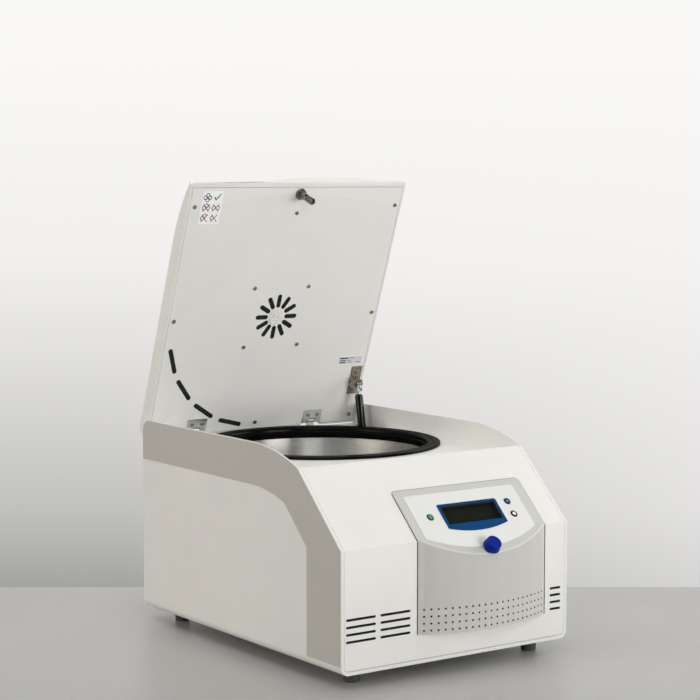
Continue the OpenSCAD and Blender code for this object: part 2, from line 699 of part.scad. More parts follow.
module striker() {
  color(c_steel) lid() translate([0, strike_y, 0]) difference() {
    union() {
      rotate_extrude($fn = 48) polygon([[0, 287], [4.8, 287], [6, 288.4], [6, 291.2], [5, 291.8],
        [5, 293.4], [6, 294], [6, 296.6], [5, 297.2], [5, 298.8], [6, 299.4], [6, panel_z - 5],
        [0, panel_z - 5]]);
      tube(3, panel_z - 5.5, panel_z + 5, $fn = 32);
    }
    box(-4.4, 4.4, -10, 10, bolt_z - 4, bolt_z + 4);
    box(-1.4, 1.4, -10, 10, 280, 292.5);
  }
}
module striker_base() {
  color(c_zinc) lid() translate([0, strike_y, 0]) difference() {
    rotate_extrude($fn = 48) polygon([[3.05, panel_z], [10.5, panel_z], [10.5, panel_z - 2.4],
      [8.6, panel_z - 5], [3.05, panel_z - 5]]);
    tube(3.05, 300, 340, $fn = 32);
  }
}
module strut_bracket() {
  color(c_zinc) lid() difference() {
    union() {
      box(str_x - 11.5, str_x + 11.5, 193.5, 250, panel_z - 1.8, panel_z);
      box(str_x - 11.5, str_x - 9.5, str_y - 9, str_y + 9, str_z - 7, panel_z - 1);
      translate([str_x - 11, str_y, str_z]) rotate([0, 90, 0]) cylinder(r = 4, h = 19.6);
      translate([str_x + 6.3, str_y, str_z]) rotate([0, 90, 0]) cylinder(r = 6, h = 2);
    }
    for (y = [-18, 18]) translate([str_x, str_y + y, 320]) linear_extrude(20) rotate(90) slot(9, 4.4);
  }
}
module load_label() {
  color([0.95, 0.95, 0.94]) lid() translate([-178.6, -126, panel_z - 0.4])
    linear_extrude(0.4) rr(41, 60, 1);
}
module type_label() {
  color([0.8, 0.81, 0.83]) lid() translate([186, 180, panel_z - 0.4])
    linear_extrude(0.4) rr(54, 16.4, 1);
}

// the strut hangs from the lid bracket with its rod end down
str_u = [hinge_y + (str_y - hinge_y) * cos(lid_open) + (str_z - hinge_z) * sin(lid_open),
  hinge_z - (str_y - hinge_y) * sin(lid_open) + (str_z - hinge_z) * cos(lid_open)];
str_tilt = atan2(str_u[0] - foot_y, str_u[1] - foot_z);
str_len = norm([str_u[0] - foot_y, str_u[1] - foot_z]);
module strut() {
  m() translate([str_x, str_u[0], str_u[1]]) rotate([-str_tilt, 0, 0]) children();
}
module strut_cylinder() {
  color(c_rubber) strut() difference() {
    union() {
      tube(tube_r, tube_end, tube_top);
      tube(6, tube_top - 0.2, tube_top + 2.5);
    }
    tube(6.3, tube_end + 2, tube_top - 16);
    tube(3.55, tube_end - 8, tube_top + 4);
  }
}
module strut_top_eye() {
  color(c_zinc) strut() difference() {
    union() {
      rotate([0, 90, 0]) cylinder(r = 7, h = 11, center = true);
      translate([-5.5, -5.5, -16]) cube([11, 11, 12]);
      tube(4, tube_top + 2.6, -15.9);
    }
    rotate([0, 90, 0]) cylinder(r = 4.06, h = 20, center = true);
  }
}
module strut_rod() {
  color(c_steel) strut() {
    tube(3.5, -str_len + 7, -138);
    tube(6.2, -147, -137);
  }
}
module strut_rod_end() {
  color(c_zinc) strut() translate([0, 0, -str_len]) {
    difference() {
      rotate([0, 90, 0]) cylinder(r = 7, h = 10, center = true);
      tube(3.52, 0, 20);
    }
    rotate([0, 90, 0]) cylinder(r = 3.4, h = 24, center = true);
    difference() {
      tube(5.4, 6, 16);
      tube(3.52, 4, 20);
    }
  }
}

module fan_frame() {
  color(c_dark) m() translate([fan_x, yb - 30, fan_z]) rotate([-90, 0, 0]) {
    difference() {
      linear_extrude(25) difference() {
        rr(92, 92, 5);
        circle(r = 43.5);
      }
      for (i = [-1, 1], j = [-1, 1]) translate([i * 41, j * 41, -1]) cylinder(r = 2.2, h = 30, $fn = 24);
    }
    cylinder(r = 17, h = 4);
    for (a = [30:120:270]) rotate(a) translate([15, -2.5, 0]) cube([30, 5, 3]);
    translate([0, 0, 3.9]) cylinder(r = 3, h = 14);
  }
}
module fan_blades() {
  color(c_rubber) m() translate([fan_x, yb - 30, fan_z]) rotate([-90, 0, 0]) difference() {
    union() {
      translate([0, 0, 5]) cylinder(r = 18, h = 17);
      intersection() {
        for (a = [0:360 / 7:359]) rotate(a) translate([16, 0, 13.5]) rotate([38, 0, 0])
          translate([0, -10.5, -1]) cube([30, 21, 2]);
        translate([0, 0, 5]) cylinder(r = 41.5, h = 18);
      }
    }
    translate([0, 0, 4]) cylinder(r = 3.06, h = 14.6);
    translate([0, 0, 4]) difference() {
      cylinder(r = 15.5, h = 8);
      translate([0, 0, -1]) cylinder(r = 6, h = 12);
    }
  }
}
module power_inlet() {
  color(c_rubber) m() translate([inl_x, yb - 1.2, inl_z]) rotate([-90, 0, 0]) {
    difference() {
      union() {
        linear_extrude(3) rr(50, 30, 3);
        translate([0, 0, -26]) linear_extrude(27) rr(28, 24, 2);
      }
      translate([0, 0, -18]) linear_extrude(24) rr(24.4, 16.8, 3);
      for (i = [-1, 1]) translate([i * 20, 0, -1]) cylinder(r = 1.8, h = 6, $fn = 24);
    }
    for (q = [[-7, 2], [0, -2], [7, 2]]) translate([q[0] - 1, q[1] - 2, -19]) cube([2, 4, 15]);
  }
}
module switch_frame() {
  color(c_dark) m() translate([sw_x, yb - 1.2, inl_z]) rotate([-90, 0, 0]) difference() {
    union() {
      linear_extrude(2.4) rr(26, 34, 2);
      translate([0, 0, -22]) linear_extrude(23) rr(22.4, 30.4, 1);
    }
    translate([0, 0, -12]) linear_extrude(20) rr(18.4, 26.4, 0.6);
  }
  // axle of the rocker
  color(c_dark) m() translate([sw_x, yb - 4, inl_z]) rotate([0, 90, 0])
    cylinder(r = 1.5, h = 18.8, center = true);
}
module power_rocker() {
  color(c_rubber) m() translate([sw_x, yb - 4, inl_z]) rotate([8, 0, 0]) difference() {
    translate([-8.9, 0, 0]) rotate([90, 0, 90]) linear_extrude(17.8)
      polygon([[-4.5, -3], [-4.5, 3], [2.2, 12], [4.6, 12], [3.2, 0], [4.6, -12], [2.2, -12]]);
    rotate([0, 90, 0]) cylinder(r = 1.56, h = 30, center = true);
  }
}
module drive_board() {
  color(c_pcb) m() {
    box(84, 196, -60, 60, 40, 42);
    for (x = [100, 182], y = [-40, 44]) translate([x, y, 0]) tube(4, base_z + sheet, 40.1, $fn = 24);
    for (i = [0:2]) translate([112, -36 + i * 32, 41.9]) cylinder(r = 12, h = 40);
    difference() {
      box(140, 190, -50, 40, 41.9, 76);
      for (i = [0:5]) box(144 + i * 7.6, 149 + i * 7.6, -52, 42, 50, 80);
    }
  }
}
module mains_filter() {
  color(c_zinc) m() {
    box(-178, -104, 8, 92, base_z + sheet, 74);
    difference() {
      translate([-141, 50, 73.9]) cylinder(r = 26, h = 22);
      translate([-141, 50, 76]) cylinder(r = 9, h = 22);
    }
  }
}

housing_shell();
side_stripes();
front_cover();
top_deck();
rear_panel();
chassis();
feet();
foot_screws();
control_panel();
membrane();
display_bezel();
lcd_display();
control_board();
encoder();
bowl();
bowl_gasket();
guard_ring();
motor();
motor_dampers();
latch_housing();
strut_foot();
hinge_base_leaves();
hinge_pins();
fan_frame();
power_inlet();
switch_frame();
drive_board();
mains_filter();
rear_screws();
lid_cover();
lid_panel();
lid_window();
lid_screws();
striker();
striker_base();
hinge_lid_leaves();
hinge_lid_screws();
strut_bracket();
load_label();
type_label();
strut_cylinder();
strut_top_eye();
strut_rod();
strut_rod_end();
motor_shaft();
rotor_cross();
rotor_pins();
rotor_nut();
bucket_1();
bucket_2();
bucket_3();
bucket_4();
knob();
start_button();
lid_button();
stop_button();
latch_bolt();
power_rocker();
fan_blades();
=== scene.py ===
import json
import math

import bmesh
import bpy
from mathutils import Matrix, Vector

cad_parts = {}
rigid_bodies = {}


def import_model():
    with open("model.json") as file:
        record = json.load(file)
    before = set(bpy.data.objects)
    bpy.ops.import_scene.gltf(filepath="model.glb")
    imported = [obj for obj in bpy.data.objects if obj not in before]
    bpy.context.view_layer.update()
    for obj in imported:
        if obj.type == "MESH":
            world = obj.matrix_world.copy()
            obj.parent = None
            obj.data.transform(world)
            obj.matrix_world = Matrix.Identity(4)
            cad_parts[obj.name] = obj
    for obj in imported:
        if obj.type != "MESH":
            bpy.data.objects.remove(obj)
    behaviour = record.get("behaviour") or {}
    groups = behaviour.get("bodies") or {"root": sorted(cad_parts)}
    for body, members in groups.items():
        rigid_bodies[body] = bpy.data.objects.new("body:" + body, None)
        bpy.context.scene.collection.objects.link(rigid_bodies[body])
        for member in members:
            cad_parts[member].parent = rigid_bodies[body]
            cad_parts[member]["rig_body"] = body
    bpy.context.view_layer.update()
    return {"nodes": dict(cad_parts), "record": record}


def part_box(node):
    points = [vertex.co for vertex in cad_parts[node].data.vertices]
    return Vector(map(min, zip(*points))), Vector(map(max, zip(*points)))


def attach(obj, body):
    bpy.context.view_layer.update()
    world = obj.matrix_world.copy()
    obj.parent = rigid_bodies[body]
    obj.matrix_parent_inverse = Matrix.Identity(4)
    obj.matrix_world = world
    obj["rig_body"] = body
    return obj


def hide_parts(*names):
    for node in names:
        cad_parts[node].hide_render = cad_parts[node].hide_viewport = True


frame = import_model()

NODES = frame["nodes"]
SHELL_LO, SHELL_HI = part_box("housing_shell")
Y0 = (SHELL_LO.y + SHELL_HI.y) / 2
MM = 0.001
# welding distance, sharpest fold left as it is, and how near an edge lies to a face it belongs to
WELD = 0.000004
CREASE = math.radians(32)
NEAR = 0.0002
# sizes of the CAD that the pieces below follow: tilt of the sloping front and height of its lower edge,
# hinge line and turn of the opened lid, height of the lid's inner face when shut, spin axis
SLOPE = math.radians(43.8)
BEND = Vector((0, SHELL_LO.y, 0.2156))
HINGE = Vector((0, 0.301 + Y0, 0.331))
LID_TURN = math.radians(-69.9)
PANEL_Z = 0.3275
BOWL_Y = 84
# cooling slots of the front cover: height of the top row, pitch, width, then middle and length of each
SLOT_TOP, SLOT_PITCH, SLOT_WIDTH = 107.7, 11.5, 4
FRONT_SLOTS = ((-190.7, 56.4), (-124.9, 57.8), (202.5, 23))
# air slots of the lid: distance from the spin axis, length, and the turns of those in the corner
STAR_R, STAR_LENGTH = 30.5, 25.6
CORNER_R, CORNER_LENGTH, CORNER_TURNS = 213.2, 51.4, (201, 219, 237, 255)
AIR_WIDTH = 8.6
# middles of the two labels on the lid's inner face, and their thickness
LOAD_LABEL, TYPE_LABEL, LABEL_THICK = (-178.6, -126), (186, 180), 0.4
scene = bpy.context.scene
scene.view_settings.view_transform = "Standard"
scene.view_settings.look = "None"

# ---------------------------------------------------------------- camera
cam_data = bpy.data.cameras.new("camera")
cam_data.lens = 101.02
cam_data.sensor_width = 36
cam_data.clip_end = 50
camera = bpy.data.objects.new("camera", cam_data)
camera.location = (-1.916, -2.7205 + Y0, 0.7839)
AIM = math.radians(-35.22)
camera.rotation_euler = (math.radians(84.95), 0, AIM)
scene.collection.objects.link(camera)
scene.camera = camera


# ---------------------------------------------------------------- materials
class Mat:
    """A procedural material: a Principled shader and the textures that feed it."""

    def __init__(self, name, **sockets):
        self.m = bpy.data.materials.new(name)
        self.m.use_nodes = True
        self.t = self.m.node_tree
        self.t.nodes.clear()
        self.out = self.t.nodes.new("ShaderNodeOutputMaterial")
        self.s = self.t.nodes.new("ShaderNodeBsdfPrincipled")
        self.t.links.new(self.s.outputs[0], self.out.inputs[0])
        self.co = self.t.nodes.new("ShaderNodeTexCoord").outputs["Object"]
        self.height = []
        for k, v in sockets.items():
            self.s.inputs[k.replace("_", " ")].default_value = v

    def node(self, kind, links=(), **props):
        n = self.t.nodes.new(kind)
        for k, v in props.items():
            setattr(n, k, v)
        for k, v in dict(links).items():
            if isinstance(v, bpy.types.NodeSocket):
                self.t.links.new(v, n.inputs[k])
            else:
                n.inputs[k].default_value = v
        return n

    def noise(self, size, detail=3.0, rough=0.55, stretch=(1, 1, 1), at=None):
        """Noise with features about size metres across."""
        mp = self.node("ShaderNodeMapping", {"Vector": at or self.co, "Scale": stretch})
        return self.node("ShaderNodeTexNoise", {"Vector": mp.outputs[0], "Scale": 1 / size,
                                                "Detail": detail, "Roughness": rough}).outputs[0]

    def cells(self, size):
        return self.node("ShaderNodeTexVoronoi", {"Vector": self.co, "Scale": 1 / size}).outputs

    def span(self, value, lo, hi, a=0.3, b=0.7):
        return self.node("ShaderNodeMapRange", {"Value": value, "From Min": a, "From Max": b,
                                                "To Min": lo, "To Max": hi}).outputs[0]

    def math(self, op, a, b=0.0):
        return self.node("ShaderNodeMath", {0: a, 1: b}, operation=op).outputs[0]

    def blend(self, fac, a, b, kind="MIX"):
        n = self.node("ShaderNodeMix", data_type="RGBA", blend_type=kind)
        for k, v in ((0, fac), (6, a), (7, b)):
            if isinstance(v, bpy.types.NodeSocket):
                self.t.links.new(v, n.inputs[k])
            else:
                n.inputs[k].default_value = v if k == 0 else (*v[:3], 1)
        return n.outputs[2]

    def bump(self, height, depth, strength=1.0):
        n = self.node("ShaderNodeBump", {"Height": height, "Distance": depth, "Strength": strength})
        if self.height:
            self.t.links.new(self.height[-1], n.inputs["Normal"])
        self.height.append(n.outputs[0])
        self.set("Normal", n.outputs[0])

    def set(self, socket, value):
        self.t.links.new(value, self.s.inputs[socket])

    def edges(self):
        """0 on flats to 1 on outer edges; it masks a painted highlight along them."""
        p = self.node("ShaderNodeNewGeometry").outputs["Pointiness"]
        return self.span(p, 0.0, 1.0, 0.52, 0.60)


def shade(c, k):
    """A colour made lighter or darker."""
    return tuple(min(1.0, x * k) for x in c[:3])


def paint(name, colour, rough=0.42, grain=0.0011, depth=0.00004, dirt=0.03):
    """Sprayed or powder-coated sheet: orange-peel skin, faint cloudiness, outer edges lightened as a
    painted highlight.
    """
    g = Mat(name)
    cloud = g.noise(0.09, 4)
    fine = g.noise(0.0006, 2)
    c = g.blend(g.span(cloud, 0, 1), shade(colour, 1 - dirt), shade(colour, 1 + dirt * 0.5))
    c = g.blend(g.span(fine, 0, 0.25), c, shade(colour, 1 - 2.5 * dirt))
    # outer edges a little lighter: a painted highlight
    c = g.blend(g.math("MULTIPLY", g.edges(), 0.5), c, shade(colour, 1.06))
    g.set("Base Color", c)
    g.set("Roughness", g.span(g.noise(0.03, 5), rough - 0.05, rough + 0.06))
    g.bump(g.noise(grain, 2, 0.5), depth)
    g.bump(g.noise(grain * 9, 2, 0.4), depth * 1.5, 0.5)
    return g.m


def plastic(name, colour, rough=0.4, grain=0.0005, depth=0.00003, spec=0.5, dirt=0.04):
    """Moulded plastic with a fine spark-eroded texture and slight gloss changes."""
    g = Mat(name, Specular_IOR_Level=spec)
    c = g.blend(g.span(g.noise(0.05, 4), 0, 1), shade(colour, 1 - dirt), shade(colour, 1 + dirt))
    # outer edges lighter: a painted highlight
    c = g.blend(g.math("MULTIPLY", g.edges(), 0.4), c, shade(colour, 1.25))
    g.set("Base Color", c)
    g.set("Roughness", g.span(g.noise(0.012, 4), rough - 0.06, rough + 0.07))
    g.bump(g.cells(grain)[0], depth, 0.6)
    g.bump(g.noise(grain * 3, 3), depth, 0.5)
    return g.m


def metal(name, colour, rough=0.3, stretch=(1, 1, 1), size=0.0012, depth=0.00002, vary=0.12, spangle=0.0):
    """Metal with a grain along one direction, and zinc spangles where asked for."""
    g = Mat(name, Metallic=1.0)
    streak = g.noise(size, 5, 0.65, stretch)
    c = g.blend(g.span(streak, 0, 1), shade(colour, 1 - vary), shade(colour, 1 + vary))
    if spangle:
        cell = g.cells(0.006)[1]
        tint = g.blend(0.5, cell, (0.5, 0.5, 0.5), "MIX")
        c = g.blend(spangle, c, tint, "OVERLAY")
        c = g.blend(g.span(g.noise(0.02, 4), 0, 0.35), c, (0.62, 0.60, 0.52))
    g.set("Base Color", c)
    g.set("Roughness", g.span(streak, rough - 0.1, rough + 0.14))
    g.bump(streak, depth)
    return g.m


def rubber(name, colour, rough, grain=0.0008):
    """Dull rubber or foam with a little dust in its grain."""
    g = Mat(name, Sheen_Weight=0.08, Sheen_Roughness=0.5)
    dust = g.span(g.noise(0.02, 6, 0.7), 0, 0.12, 0.5, 0.8)
    c = g.blend(dust, colour, (0.10, 0.10, 0.097))
    g.set("Base Color", c)
    g.set("Roughness", g.span(g.noise(0.006, 5), rough - 0.1, rough + 0.12))
    g.bump(g.noise(grain, 4, 0.6), 0.00005)
    return g.m


def board(name):
    """Circuit board: green mask over copper tracks, with pads."""
    g = Mat(name, Coat_Weight=0.3, Coat_Roughness=0.15)
    brick = g.node("ShaderNodeTexBrick", {"Vector": g.co, "Scale": 120.0, "Mortar Size": 0.03,
                                          "Color1": (0.02, 0.20, 0.09, 1), "Color2": (0.02, 0.17, 0.08, 1),
                                          "Mortar": (0.05, 0.32, 0.14, 1)}).outputs[0]
    dots = g.span(g.cells(0.0035)[0], 1, 0, 0.16, 0.22)
    c = g.blend(dots, brick, (0.72, 0.60, 0.30))
    g.set("Base Color", c)
    g.set("Metallic", g.math("MULTIPLY", dots, 0.9))
    g.set("Roughness", g.span(g.noise(0.004, 4), 0.28, 0.45))
    g.bump(dots, 0.0001)
    return g.m


def film(name, colour, rough=0.5):
    """Printed film: an even ink under a matt face, so it mirrors almost nothing."""
    g = Mat(name, Specular_IOR_Level=0.08)
    g.set("Base Color", g.blend(g.span(g.noise(0.02, 4), 0, 1), shade(colour, 0.96), shade(colour, 1.04)))
    g.set("Roughness", g.span(g.noise(0.004, 4), rough - 0.06, rough + 0.06))
    g.bump(g.noise(0.0006, 3), 0.000004)
    return g.m


def gloss_black(name, colour, rough, coat):
    """Dark body under a thin gloss, so that only lights show in it."""
    g = Mat(name, Specular_IOR_Level=0.0, Coat_Weight=coat, Coat_Roughness=rough)
    g.set("Base Color", g.blend(g.span(g.noise(0.01, 5), 0, 1), shade(colour, 0.7), shade(colour, 1.4)))
    g.set("Roughness", g.span(g.noise(0.004, 4), 0.5, 0.7))
    g.bump(g.noise(0.0012, 3), 0.00001)
    return g.m


M = {
    "white_paint": paint("white_paint", (0.82, 0.815, 0.795)),
    "grey_film": paint("grey_film", (0.515, 0.505, 0.475), rough=0.5, depth=0.00001, dirt=0.01),
    "panel_grey": plastic("panel_grey", (0.53, 0.53, 0.50), rough=0.55, depth=0.00001, dirt=0.012),
    "membrane_film": plastic("membrane_film", (0.74, 0.745, 0.73), rough=0.5, grain=0.0003, depth=0.000004,
                             dirt=0.008),
    "blue_film": film("blue_film", (0.0, 0.052, 0.175)),
    "rubber": gloss_black("rubber", (0.0018, 0.0018, 0.0018), 0.2, 0.18),
    "dark_rubber": rubber("dark_rubber", (0.05, 0.05, 0.052), 0.7),
    "zinc": metal("zinc", (0.72, 0.78, 0.77), rough=0.34, stretch=(0.25, 1, 1), vary=0.08, spangle=0.12),
    "steel": metal("steel", (0.42, 0.41, 0.39), rough=0.24, stretch=(1, 1, 6)),
    "aluminium": metal("aluminium", (0.66, 0.68, 0.70), rough=0.34, stretch=(1, 1, 8), size=0.002,
                       vary=0.07),
    "dark_steel": paint("dark_steel", (0.030, 0.030, 0.033), rough=0.5, dirt=0.15),
    "black_plastic": plastic("black_plastic", (0.020, 0.020, 0.022), rough=0.45, dirt=0.15),
    "blue_plastic": plastic("blue_plastic", (0.0, 0.014, 0.25), rough=0.42, depth=0.000006, spec=0.12,
                            dirt=0.08),
    "green_plastic": film("green_plastic", (0.0, 0.110, 0.055)),
    "key_blue": film("key_blue", (0.0, 0.045, 0.18)),
    "key_red": film("key_red", (0.075, 0.002, 0.004)),
    "black_paint": gloss_black("black_paint", (0.0015, 0.0015, 0.0015), 0.06, 0.7),
    "circuit_board": board("circuit_board"),
    "label": film("label", (0.96, 0.96, 0.99)),
    "white_plastic": paint("white_plastic", (0.84, 0.835, 0.815), rough=0.38),
}
# finishes that differ from their slot's
SCREW = metal("screw", (0.34, 0.30, 0.25), rough=0.34, vary=0.5)
GILT = metal("gilt", (0.36, 0.30, 0.24), rough=0.36, size=0.004, vary=0.7)
DARK = metal("dark_metal", (0.23, 0.21, 0.18), rough=0.24, size=0.0035, vary=0.85)
EYE = metal("bright_zinc", (0.40, 0.44, 0.44), rough=0.25, size=0.004, vary=0.6)
SPECIAL = {"strut_top_eye": EYE, "lid_screws": SCREW, "hinge_lid_screws": SCREW, "strut_bracket": GILT,
           "striker": DARK, "striker_base": DARK}


def stainless():
    """Spun and brushed bowl: rings round the spin axis, a few soft scratches."""
    g = Mat("stainless", Metallic=1.0, Anisotropic=0.8, Anisotropic_Rotation=0.25)
    lo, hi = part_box("bowl")
    c = (lo + hi) / 2
    x = g.node("ShaderNodeSeparateXYZ", {0: g.co})
    dx = g.math("SUBTRACT", x.outputs[0], c.x)
    dy = g.math("SUBTRACT", x.outputs[1], c.y)
    ang = g.node("ShaderNodeMath", {0: dy, 1: dx}, operation="ARCTAN2").outputs[0]
    r = g.math("SQRT", g.math("ADD", g.math("MULTIPLY", dx, dx), g.math("MULTIPLY", dy, dy)))
    turned = g.math("MULTIPLY", ang, 0.006)
    v = g.node("ShaderNodeCombineXYZ", {0: turned, 1: r, 2: x.outputs[2]}).outputs[0]
    ring = g.noise(0.0011, 4, 0.6, at=v)
    g.set("Base Color", g.blend(g.span(ring, 0, 1), (0.72, 0.70, 0.665), (0.86, 0.845, 0.81)))
    g.set("Roughness", g.span(ring, 0.26, 0.34))
    g.set("Tangent", g.node("ShaderNodeTangent", direction_type="RADIAL", axis="Z").outputs[0])
    return g.m


M["stainless"] = stainless()


def clear():
    """Milky acrylic with a polished face and a crazed silver backing."""
    g = Mat("clear", IOR=1.49, Coat_Weight=0.5, Coat_Roughness=0.1)
    flake = g.noise(0.004, 5, 0.7)
    g.set("Base Color", g.blend(g.span(flake, 0, 1, 0.35, 0.65), (0.66, 0.655, 0.61), (0.93, 0.925, 0.89)))
    g.set("Roughness", g.span(flake, 0.2, 0.4))
    g.bump(flake, 0.00015)
    return g.m


M["clear"] = clear()


def lcd():
    """Dark display glass over an olive field with a faint dot grid."""
    g = Mat("lcd", Specular_IOR_Level=0.1)
    field = g.blend(g.span(g.noise(0.03, 3), 0, 1), (0.0075, 0.0095, 0.0062), (0.0125, 0.015, 0.0098))
    mp = g.node("ShaderNodeMapping", {"Vector": g.co, "Rotation": (-SLOPE, 0, 0)})
    grid = g.node("ShaderNodeTexBrick", {"Vector": mp.outputs[0], "Scale": 900.0, "Mortar Size": 0.06,
                                         "Color1": (1, 1, 1, 1), "Color2": (0.93, 0.93, 0.93, 1),
                                         "Mortar": (0.55, 0.55, 0.55, 1)}, offset=0.0).outputs[0]
    g.set("Base Color", g.blend(0.6, field, grid, "MULTIPLY"))
    g.set("Roughness", g.span(g.noise(0.01, 3), 0.3, 0.4))
    return g.m


M["lcd"] = lcd()

# ---------------------------------------------------------------- CAD nodes
SLOT = {p["node"]: p["material_slot"] for p in frame["record"]["subparts"]}
BEVEL = {"housing_shell": 0.8, "front_cover": 0.5, "side_stripes": 0.15, "top_deck": 0.5, "lid_panel": 0.3,
         "control_panel": 0.7, "display_bezel": 0.25, "membrane": 0.15, "feet": 0.8, "rotor_cross": 0.8,
         "power_rocker": 0.6, "striker": 0.4, "latch_housing": 1.0, "motor": 0.6, "strut_bracket": 0.3,
         "hinge_lid_leaves": 0.3, "hinge_base_leaves": 0.3, "strut_top_eye": 0.5, "strut_cylinder": 0.5,
         "power_inlet": 0.4, "switch_frame": 0.4, "rear_panel": 0.3, "fan_frame": 0.5, "drive_board": 0.5}
FLAT = ("lid_panel", "front_cover", "load_label", "type_label")


def weigh(obj):
    """Lets the large faces rule the shading, so flats stay flat beside rounded edges."""
    n = obj.modifiers.new("normals", "WEIGHTED_NORMAL")
    n.keep_sharp = True
    n.weight = 60


def soften(obj, width_mm, flat):
    """Welds the imported facets and rounds the sharp edges a little."""
    w = obj.modifiers.new("weld", "WELD")
    w.merge_threshold = WELD
    d = obj.modifiers.new("flat", "DECIMATE")
    d.decimate_type = "DISSOLVE"
    d.angle_limit = math.radians(0.3)
    b = obj.modifiers.new("edge", "BEVEL")
    b.width = width_mm * MM
    b.segments = 2
    b.limit_method = "ANGLE"
    b.angle_limit = CREASE
    if "custom_normal" in obj.data.attributes:
        obj.data.attributes.remove(obj.data.attributes["custom_normal"])
    obj.data.polygons.foreach_set("use_smooth", [not flat] * len(obj.data.polygons))
    if not flat:
        weigh(obj)


for name, obj in NODES.items():
    obj.data.materials.clear()
    obj.data.materials.append(SPECIAL.get(name) or M[SLOT[name]])
    soften(obj, BEVEL.get(name, 0.2), name in FLAT)


# ---------------------------------------------------------------- helpers for new pieces
LID = Matrix.Translation(HINGE) @ Matrix.Rotation(LID_TURN, 4, "X") @ Matrix.Translation(-HINGE)
# the place of pieces that are drawn in the shared frame itself
STILL = Matrix.Identity(4)


def on_slope(x, s, h):
    """Frame on the sloping front: x across, s up the slope, h proud of it, in millimetres."""
    return (Matrix.Translation(BEND) @ Matrix.Rotation(SLOPE, 4, "X")
            @ Matrix.Translation((x * MM, s * MM, h * MM)))


def under_lid(x, y, drop=0.0):
    """Frame on the lid's inner face, seen from below: u to the right, v towards the lid's front."""
    return (LID @ Matrix.Translation((x * MM, y * MM + Y0, PANEL_Z - drop * MM))
            @ Matrix.Diagonal((1, -1, -1, 1)))


def prism(bm, pts, z0, z1, mat=0):
    """A flat plate with the outline pts, in millimetres."""
    lo = [bm.verts.new((x * MM, y * MM, z0 * MM)) for x, y in pts]
    hi = [bm.verts.new((x * MM, y * MM, z1 * MM)) for x, y in pts]
    n = len(pts)
    made = [bm.faces.new(hi), bm.faces.new(lo[::-1])]
    made += [bm.faces.new((lo[i], lo[(i + 1) % n], hi[(i + 1) % n], hi[i])) for i in range(n)]
    for f in made:
        f.material_index = mat


def ring(bm, cx, cy, r0, r1, z0, z1, mat=0, n=40, a0=0.0, a1=360.0):
    """A flat ring, or part of one."""
    whole = a1 - a0 >= 360
    rows = []
    for i in range(n + (0 if whole else 1)):
        a = math.radians(a0 + (a1 - a0) * i / n)
        rows.append([bm.verts.new(((cx + r * math.cos(a)) * MM, (cy + r * math.sin(a)) * MM, z * MM))
                     for r, z in ((r0, z0), (r1, z0), (r1, z1), (r0, z1))])
    made = []
    for i in range(len(rows) - (0 if whole else 1)):
        p, q = rows[i], rows[(i + 1) % len(rows)]
        made += [bm.faces.new((p[k], q[k], q[(k + 1) % 4], p[(k + 1) % 4])) for k in range(4)]
    if not whole:
        made += [bm.faces.new(rows[0]), bm.faces.new(rows[-1][::-1])]
    for f in made:
        f.material_index = mat


def stadium(cx, cy, length, width, angle, n=8):
    """Outline of a round-ended slot."""
    c, s = math.cos(math.radians(angle)), math.sin(math.radians(angle))
    ends = [((length - width) / 2 * k, math.pi * (i / n - 0.5) + (0 if k > 0 else math.pi))
            for k in (1, -1) for i in range(n + 1)]
    local = [(u + width / 2 * math.cos(a), width / 2 * math.sin(a)) for u, a in ends]
    return [(cx + u * c - v * s, cy + u * s + v * c) for u, v in local]


def sleeve(bm, cx, cy, length, width, angle, z0, z1, wall=0.3):
    """Thin lining of a round-ended slot."""
    rows = []
    for inset, z in ((0.02, z0), (wall, z0), (wall, z1), (0.02, z1)):
        pts = stadium(cx, cy, length - 2 * inset, width - 2 * inset, angle)
        rows.append([bm.verts.new((x * MM, y * MM, z * MM)) for x, y in pts])
    n = len(rows[0])
    for p, q in zip(rows, rows[1:] + rows[:1]):
        for i in range(n):
            bm.faces.new((p[i], p[(i + 1) % n], q[(i + 1) % n], q[i]))


def disc(cx, cy, r, n=40):
    """Outline of a circle."""
    return [(cx + r * math.cos(2 * math.pi * i / n), cy + r * math.sin(2 * math.pi * i / n))
            for i in range(n)]


def bar(cx, cy, length, width, angle):
    """Outline of a turned rectangle."""
    c, s = math.cos(math.radians(angle)), math.sin(math.radians(angle))
    return [(cx + u * c - v * s, cy + u * s + v * c)
            for u, v in ((-length / 2, -width / 2), (length / 2, -width / 2),
                         (length / 2, width / 2), (-length / 2, width / 2))]


def piece(name, bm, place, body, mats, smooth=False):
    """Makes the mesh a named piece that rides on a body and fills a material slot."""
    bmesh.ops.recalc_face_normals(bm, faces=bm.faces)
    me = bpy.data.meshes.new(name)
    bm.to_mesh(me)
    bm.free()
    me.transform(place)
    for m in mats:
        me.materials.append(m)
    if smooth:
        me.polygons.foreach_set("use_smooth", [True] * len(me.polygons))
    o = bpy.data.objects.new(name, me)
    scene.collection.objects.link(o)
    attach(o, body)
    return o


def soft_copy(node, name, width, segments, test):
    """The node's own shape with the edges that pass a test rounded, by a width in millimetres."""
    bm = bmesh.new()
    bm.from_mesh(NODES[node].data)
    bmesh.ops.remove_doubles(bm, verts=bm.verts, dist=WELD)
    bmesh.ops.dissolve_limit(bm, angle_limit=math.radians(0.4), verts=bm.verts, edges=bm.edges)
    picked = [e for e in bm.edges if len(e.link_faces) == 2 and e.calc_face_angle(0) > CREASE
              and test(e, (e.verts[0].co + e.verts[1].co) / 2)]
    bmesh.ops.bevel(bm, geom=picked, offset=width * MM, segments=segments, profile=0.5,
                    affect="EDGES", clamp_overlap=False, miter_outer="ARC")
    bmesh.ops.triangulate(bm, faces=[f for f in bm.faces if len(f.verts) > 4])
    o = piece(name, bm, STILL, NODES[node]["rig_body"], [M[SLOT[node]]], True)
    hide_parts(node)
    return o


